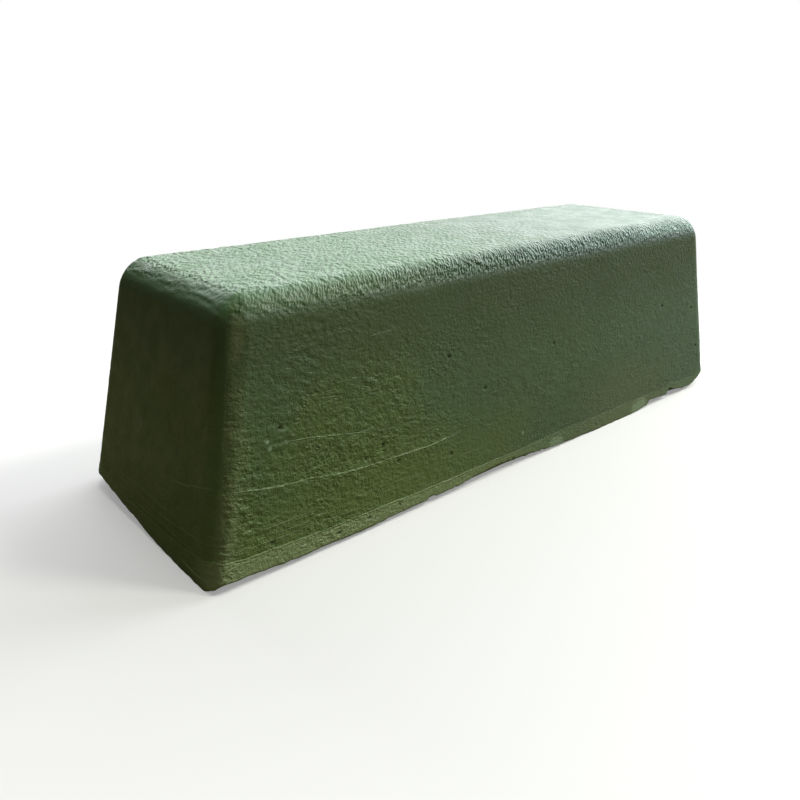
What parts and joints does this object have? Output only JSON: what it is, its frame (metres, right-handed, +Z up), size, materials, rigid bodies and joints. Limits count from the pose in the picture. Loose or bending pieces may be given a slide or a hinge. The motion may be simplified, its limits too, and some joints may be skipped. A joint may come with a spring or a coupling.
{
  "type": "polishing compound bar",
  "caption": "Tapered loaf-shaped bar of green buffing compound with a rounded upper rim, a thin band round its foot and a chipped lower edge.",
  "frame": {"origin": "on the ground under the middle of the bar, in the plane of the rim that it stands on", "axes": "+X along the bar's length, +Y across it, +Z up, from the foot to the flat top"},
  "size_m": [0.12, 0.04, 0.035],
  "materials": {
    "compound": "chromium-oxide wax, as cast: pebbled, waxy, with faint pour lines"
  },
  "bodies": {
    "root": {"compound_bar": "compound"}
  },
  "joints": []
}
